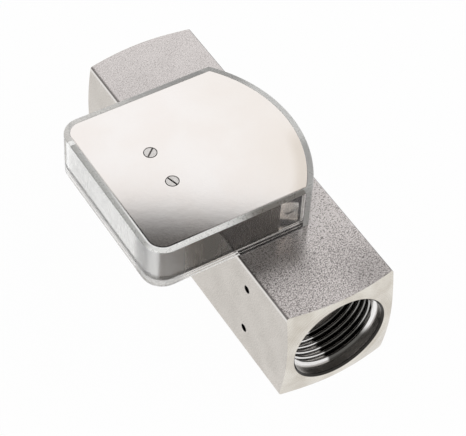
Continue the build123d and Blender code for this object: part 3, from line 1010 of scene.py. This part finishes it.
@dataclass
class PortThread:
    """Helical rib that makes the pipe thread in one port."""

    end: PortEnd
    major_radius: float = 16.68 * MM
    crest_radius: float = 15.15 * MM
    pitch: float = 2.309 * MM
    crest_width: float = 0.55 * MM
    root_gap: float = 0.12 * MM
    turns: int = 6
    steps: int = 96
    plain_length: float = 2.6 * MM
    lead_in: float = 1.5 * MM
    crest_bevel: float = 0.12 * MM
    crest_angle: float = math.radians(35)
    smooth_angle: float = math.radians(40)
    start_angle: float = math.radians(60)

    def build(self, material: Material) -> Piece:
        """Sweeps the rib, closes it and cuts its start back to a cone.

        Args:
            material: Finish of the thread.

        Returns:
            The finished rib.
        """
        Bench.clear()
        bpy.ops.mesh.primitive_plane_add(size=1.0, location=(0, 0, 0))
        rib = bpy.context.active_object
        rib.name = f"{self.end.name.lower()}_thread"
        root_width = self.pitch - self.root_gap
        depth = self.major_radius - self.crest_radius
        bpy.ops.object.mode_set(mode="EDIT")
        bpy.ops.transform.resize(value=(depth, root_width, 1), center_override=(0, 0, 0))
        bpy.ops.mesh.select_all(action="DESELECT")
        bpy.ops.object.mode_set(mode="OBJECT")
        for vertex in rib.data.vertices:
            vertex.select = vertex.co.x < 0
        bpy.ops.object.mode_set(mode="EDIT")
        bpy.ops.transform.resize(value=(1, self.crest_width / root_width, 1), center_override=(0, 0, 0))
        bpy.ops.mesh.select_all(action="SELECT")
        start = self._start(root_width)
        bpy.ops.transform.translate(value=((self.major_radius + self.crest_radius) / 2, start, 0))
        bpy.ops.object.mode_set(mode="OBJECT")
        Bench.sweep(rib, 4, self.pitch, self.turns, self.steps)
        edge = rib.modifiers.new("crest", "BEVEL")
        edge.width = self.crest_bevel
        edge.segments = 2
        edge.limit_method = "ANGLE"
        edge.angle_limit = self.crest_angle
        Bench.apply_modifiers(rib)
        rib.data.transform(Matrix.Rotation(-self.start_angle, 4, "Y"))
        self._cut_start(rib)
        Bench.pick(rib)
        bpy.ops.object.shade_smooth_by_angle(angle=self.smooth_angle)
        Bench.dress(rib, material)
        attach(rib, "meter")
        return rib

    def _start(self, root_width: float) -> float:
        """Finds where the sweep starts.

        Args:
            root_width: Width of the rib at its root.

        Returns:
            Station of the first turn's middle.
        """
        nearest = BAR_HALF_LENGTH - self.plain_length - root_width / 2
        if self.end is PortEnd.INLET:
            return -nearest
        return nearest - self.turns * self.pitch

    def _cut_start(self, rib: Piece) -> None:
        """Cuts the crest near the mouth back to a cone and moves the rib to the bore's height.

        Args:
            rib: Rib about the Y axis.
        """
        slope = (self.major_radius - self.crest_radius) / self.lead_in
        for vertex in rib.data.vertices:
            depth = BAR_HALF_LENGTH - abs(vertex.co.y) - self.plain_length
            limit = self.major_radius - max(depth, 0) * slope
            radius = math.hypot(vertex.co.x, vertex.co.z)
            if radius < limit:
                vertex.co.x *= limit / radius
                vertex.co.z *= limit / radius
            vertex.co.z += BORE_HEIGHT
        rib.data.update()


@dataclass
class SpringCoil:
    """Round wire spring between the float's cap and the outlet spider."""

    wire_radius: float = 0.45 * MM
    mean_radius: float = 5.0 * MM
    start: float = -9.2 * MM
    end: float = 38.0 * MM
    turns: int = 7
    steps: int = 40
    sides: int = 12
    travel: float = 34.4 * MM
    smooth_angle: float = math.radians(60)

    def build(self, material: Material) -> Piece:
        """Sweeps the wire, hangs the coil on the meter's body and hides the model's spring.

        Args:
            material: Finish of the wire.

        Returns:
            The finished coil.
        """
        Bench.clear()
        place = (self.mean_radius, self.start + self.wire_radius, 0)
        bpy.ops.mesh.primitive_circle_add(vertices=self.sides, radius=self.wire_radius, location=place)
        coil = bpy.context.active_object
        coil.name = "spring_coil"
        bpy.ops.object.transform_apply(location=True, rotation=False, scale=False)
        length = self.end - self.start
        pitch = (length - 2 * self.wire_radius) / self.turns
        Bench.sweep(coil, self.sides, pitch, self.turns, self.steps)
        coil.data.transform(Matrix.Translation((0, 0, BORE_HEIGHT)))
        Bench.pick(coil)
        bpy.ops.object.shade_smooth_by_angle(angle=self.smooth_angle)
        Bench.dress(coil, material)
        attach(coil, "meter")
        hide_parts("return_spring")
        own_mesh(coil)
        return coil


@dataclass
class IndicatorCase:
    """Clear cover and face plate, with the fine edges that the eye sees."""

    cover_bevel: float = 0.25 * MM
    plate_bevel: float = 0.18 * MM
    rim_level: float = 56.4 * MM
    corner_place: float = 4.4 * MM
    corner_front: float = -33.5 * MM
    rim_slope: float = 0.04
    segments: int = 3
    sharp: float = math.radians(40)

    def build_cover(self, wall: Material, rim: Material) -> Piece:
        """Makes the clear cover with softened edges and a satin top rim.

        Args:
            wall: Clear finish.
            rim: Satin finish.

        Returns:
            The finished cover.
        """
        cover = Bench.merged_copy("cover", "clear_cover")
        self._soften(cover, self.cover_bevel)
        Bench.dress(cover, wall)
        cover.data.materials.append(rim)
        Bench.pick(cover)
        bpy.ops.object.mode_set(mode="EDIT")
        bpy.ops.mesh.select_all(action="SELECT")
        bpy.ops.mesh.bisect(plane_co=(self.corner_place, 0, 0), plane_no=(1, 0, 0))
        bpy.ops.object.mode_set(mode="OBJECT")
        # The wall's front right corner takes the satin rim too, and with it that finish's painted
        # highlight.
        for face in cover.data.polygons:
            on_rim = face.center.z > self.rim_level and face.normal.z > self.rim_slope
            at_corner = face.center.x > self.corner_place and face.center.y < self.corner_front
            if on_rim or at_corner:
                face.material_index = 1
        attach(cover, "meter")
        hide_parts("cover")
        return cover

    def build_plate(self, material: Material) -> Piece:
        """Makes the face plate with its broken edges.

        Args:
            material: Finish of the plate.

        Returns:
            The finished plate.
        """
        plate = Bench.merged_copy("face_plate", "bare_face_plate")
        self._soften(plate, self.plate_bevel)
        Bench.dress(plate, material)
        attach(plate, "meter")
        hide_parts("face_plate")
        return plate

    def _soften(self, piece: Piece, width: float) -> None:
        """Rounds the sharp edges of a merged piece and shades its curves smooth.

        Args:
            piece: Merged copy of a node.
            width: Width of the rounding.
        """
        edge = piece.modifiers.new("edges", "BEVEL")
        edge.width = width
        edge.segments = self.segments
        edge.limit_method = "ANGLE"
        edge.angle_limit = self.sharp
        edge.harden_normals = True
        Bench.pick(piece)
        bpy.ops.object.shade_smooth_by_angle(angle=self.sharp)
        weights = piece.modifiers.new("weights", "WEIGHTED_NORMAL")
        weights.keep_sharp = True
        Bench.apply_modifiers(piece)


@dataclass
class Studio:
    """White floor, world, lamps and the camera of the photograph."""

    camera_place: Vector = field(default_factory=lambda: Vector((-0.2330, -0.3409, 0.4880)))
    heading: float = math.radians(34.41)
    downward: float = math.radians(49.01)
    roll: float = math.radians(3.9)
    focal_pixels: float = 1840.6
    sensor_width: float = 36.0
    floor_size: float = 8.0
    floor_glow: float = 0.97
    ceiling_heading: float = math.radians(39.4)
    ceiling_left: float = 0.7545
    ceiling_right: float = 0.88
    ceiling_step: Span = (-0.012, 0.018)
    ceiling_edge: Span = (-0.0075, 0.0075)
    ceiling_rise: Span = (0.772, 0.795)
    ceiling_low: Color = (0.05, 0.048, 0.045)
    ceiling_high: Color = (0.42, 0.41, 0.40)

    def build(self) -> None:
        """Builds the whole studio."""
        self._camera()
        self._floor()
        self._world()
        self._lamps()
        bpy.context.scene.view_settings.view_transform = "Standard"

    def _camera(self) -> None:
        """Places the camera at the photograph's viewing angle."""
        ahead = Vector((
            math.sin(self.heading) * math.cos(self.downward),
            math.cos(self.heading) * math.cos(self.downward),
            -math.sin(self.downward),
        ))
        level = ahead.cross(Vector((0, 0, 1))).normalized()
        above = level.cross(ahead)
        right = level * math.cos(self.roll) + above * math.sin(self.roll)
        up = above * math.cos(self.roll) - level * math.sin(self.roll)
        data = bpy.data.cameras.new("photo_camera")
        data.sensor_width = self.sensor_width
        data.lens = self.focal_pixels / IMAGE_WIDTH * self.sensor_width
        camera = bpy.data.objects.new("photo_camera", data)
        bpy.context.scene.collection.objects.link(camera)
        turn = Matrix((right, up, -ahead)).transposed().to_4x4()
        camera.matrix_world = Matrix.Translation(self.camera_place) @ turn
        bpy.context.scene.camera = camera

    def _floor(self) -> None:
        """Lays a white floor that keeps the meter's faint shadow."""
        Bench.clear()
        bpy.ops.mesh.primitive_plane_add(size=self.floor_size, location=(0, 0, 0))
        floor = bpy.context.active_object
        floor.name = "floor"
        material = bpy.data.materials.new("white_floor")
        material.use_nodes = True
        material.node_tree.nodes.clear()
        graph = Graph(material.node_tree)
        path = graph.add(Kind.LIGHT_PATH).outputs
        seen = graph.larger(path["Is Camera Ray"], path["Is Glossy Ray"])
        seen = graph.larger(seen, path["Is Transmission Ray"])
        paint = graph.add(Kind.DIFFUSE, {"Color": (0.85, 0.85, 0.85)})
        glow = graph.add(Kind.EMISSION, {"Color": WHITE, "Strength": 1.0})
        share = graph.times(seen, self.floor_glow)
        surface = graph.add(Kind.MIX_SHADER, {0: share, 1: paint.outputs[0], 2: glow.outputs[0]})
        graph.add(Kind.SURFACE, {"Surface": surface.outputs[0]})
        Bench.dress(floor, material)

    def _world(self) -> None:
        """Surrounds the meter with a white wall under a darker ceiling."""
        world = bpy.data.worlds.new("white_tent")
        bpy.context.scene.world = world
        world.use_nodes = True
        world.node_tree.nodes.clear()
        graph = Graph(world.node_tree)
        across, along, height = graph.split(graph.add(Kind.COORD).outputs["Generated"])
        to_right = graph.times(across, math.cos(self.ceiling_heading))
        to_left = graph.times(along, math.sin(self.ceiling_heading))
        beside = graph.smooth(graph.minus(to_right, to_left), *self.ceiling_step)
        start = graph.mix(beside, self.ceiling_left, self.ceiling_right)
        above = graph.smooth(graph.minus(height, start), *self.ceiling_edge)
        rise = graph.smooth(height, *self.ceiling_rise)
        ceiling = graph.blend(rise, self.ceiling_low, self.ceiling_high)
        color = graph.blend(above, WHITE, ceiling)
        path = graph.add(Kind.LIGHT_PATH).outputs
        seen = graph.larger(path["Is Camera Ray"], path["Is Transmission Ray"])
        color = graph.blend(seen, color, WHITE)
        backdrop = graph.add(Kind.BACKGROUND, {"Color": color, "Strength": 1.0})
        graph.add(Kind.SURROUNDINGS, {"Surface": backdrop.outputs[0]})

    def _lamps(self) -> None:
        """Hangs two soft lamps, in front to the left and behind to the right."""
        self._lamp("key_lamp", Vector((-0.7, -0.5, 0.9)), size=0.5, radiance=0.9)
        self._lamp("back_lamp", Vector((1.1, -0.1, 0.9)), size=0.6, radiance=0.7)

    @staticmethod
    def _lamp(name: str, place: Vector, size: float, radiance: float) -> None:
        """Hangs one square soft lamp that faces the meter.

        Args:
            name: Name of the lamp.
            place: Where it hangs.
            size: Its side.
            radiance: How bright its face looks, where 1 is white.
        """
        data = bpy.data.lights.new(name, "AREA")
        data.shape = "SQUARE"
        data.size = size
        data.energy = radiance * math.pi * size**2
        lamp = bpy.data.objects.new(name, data)
        bpy.context.scene.collection.objects.link(lamp)
        lamp.location = place
        lamp.rotation_euler = (-place).to_track_quat("-Z", "Y").to_euler()


@dataclass
class FlowMeter:
    """The whole meter: which finish each piece of the model wears."""

    effects: Effects = field(default_factory=Effects)

    def dress_nodes(self) -> dict[str, Material]:
        """Dresses every node of the model.

        Returns:
            Materials by name.
        """
        made = {}
        for finish, nodes in self._wardrobe():
            made[finish.name] = finish.build(self.effects)
            for node in nodes:
                Bench.dress(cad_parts[node], made[finish.name])
                log.info("%s wears %s", node, finish.name)
        return made

    @staticmethod
    def _wardrobe() -> tuple:
        """Lists who wears what.

        Returns:
            Each finish with the nodes that wear it.
        """
        steel = (0.74, 0.73, 0.72), (0.58, 0.57, 0.56)
        wire = (0.80, 0.80, 0.81), (0.62, 0.62, 0.63)
        yellow = (0.80, 0.63, 0.34), (0.62, 0.47, 0.22)
        rubber = (0.05, 0.05, 0.05), (0.025, 0.025, 0.025)
        ferrite = (0.20, 0.20, 0.21), (0.12, 0.12, 0.125)
        black = (0.055, 0.055, 0.06), (0.03, 0.03, 0.033)
        return (
            (BarFinish(), ("meter_body",)),
            (ThreadFinish(), ()),
            (FacePlateFinish(screws=(REAR_SCREW, FRONT_SCREW)), ("face_plate",)),
            (
                SheetFinish("plate_steel", (0.86, 0.84, 0.82), (0.78, 0.76, 0.745), Direction.ALONG),
                ("base_plate", "bearing_bridge"),
            ),
            (BandFinish(), ("frame_band",)),
            (ClearFinish(), ("cover",)),
            (RimFinish(), ()),
            # The slot colours are painted shade, darker on the front screw.
            (ScrewFinish("rear_screw_steel", REAR_SCREW, (0.16, 0.15, 0.145)), ("rear_face_screw",)),
            (ScrewFinish("front_screw_steel", FRONT_SCREW, (0.02, 0.019, 0.018)), ("front_face_screw",)),
            (
                TurnedFinish("bore_steel", *steel, BORE),
                ("inlet_spider", "outlet_spider", "guide_rod", "inlet_rod_nut", "outlet_rod_nut",
                 "metering_sleeve", "float_head", "float_body", "magnet_spacer", "float_cap"),
            ),
            (
                TurnedFinish("post_steel", *steel, PIVOT, upright=True),
                ("base_screws", "front_pillar", "rear_pillar", "zero_stop", "full_scale_stop",
                 "pointer_shaft"),
            ),
            (
                TurnedFinish("spring_steel", *wire, BORE, rings=3000.0, roughness=(0.22, 0.12)),
                ("return_spring", "inlet_retaining_ring", "outlet_retaining_ring"),
            ),
            (
                TurnedFinish("brass", *yellow, PIVOT, upright=True),
                ("lower_bearing", "upper_bearing", "pointer_hub", "magnet_cup", "counterweight"),
            ),
            (MouldedFinish("seal_rubber", *rubber, roughness=(0.6, 0.45)), ("sleeve_seal",)),
            (
                MouldedFinish("bush_plastic", (0.90, 0.90, 0.87), (0.80, 0.80, 0.77)),
                ("front_float_bush", "rear_float_bush"),
            ),
            (
                MouldedFinish("magnet", *ferrite, metallic=1.0, bump=0.03 * MM),
                ("float_magnets", "follower_magnet"),
            ),
            (MouldedFinish("pointer_black", *black, coat=0.2), ("pointer_arm", "pointer_flag")),
        )

    def build(self) -> None:
        """Dresses the nodes, then adds the threads, the spring and the case's fine edges."""
        made = self.dress_nodes()
        pieces = [PortThread(end).build(made["thread_steel"]) for end in PortEnd]
        pieces.append(SpringCoil().build(made["spring_steel"]))
        case = IndicatorCase()
        pieces.append(case.build_cover(made["clear_plastic"], made["satin_rim"]))
        pieces.append(case.build_plate(made["face_steel"]))
        for piece in pieces:
            log.info("%s has %d faces", piece.name, len(piece.data.polygons))


def main() -> None:
    """Builds the studio and the meter."""
    logging.basicConfig(level=logging.INFO, format="%(name)s: %(message)s")
    Studio().build()
    FlowMeter().build()


if __name__ == "__main__":
    main()
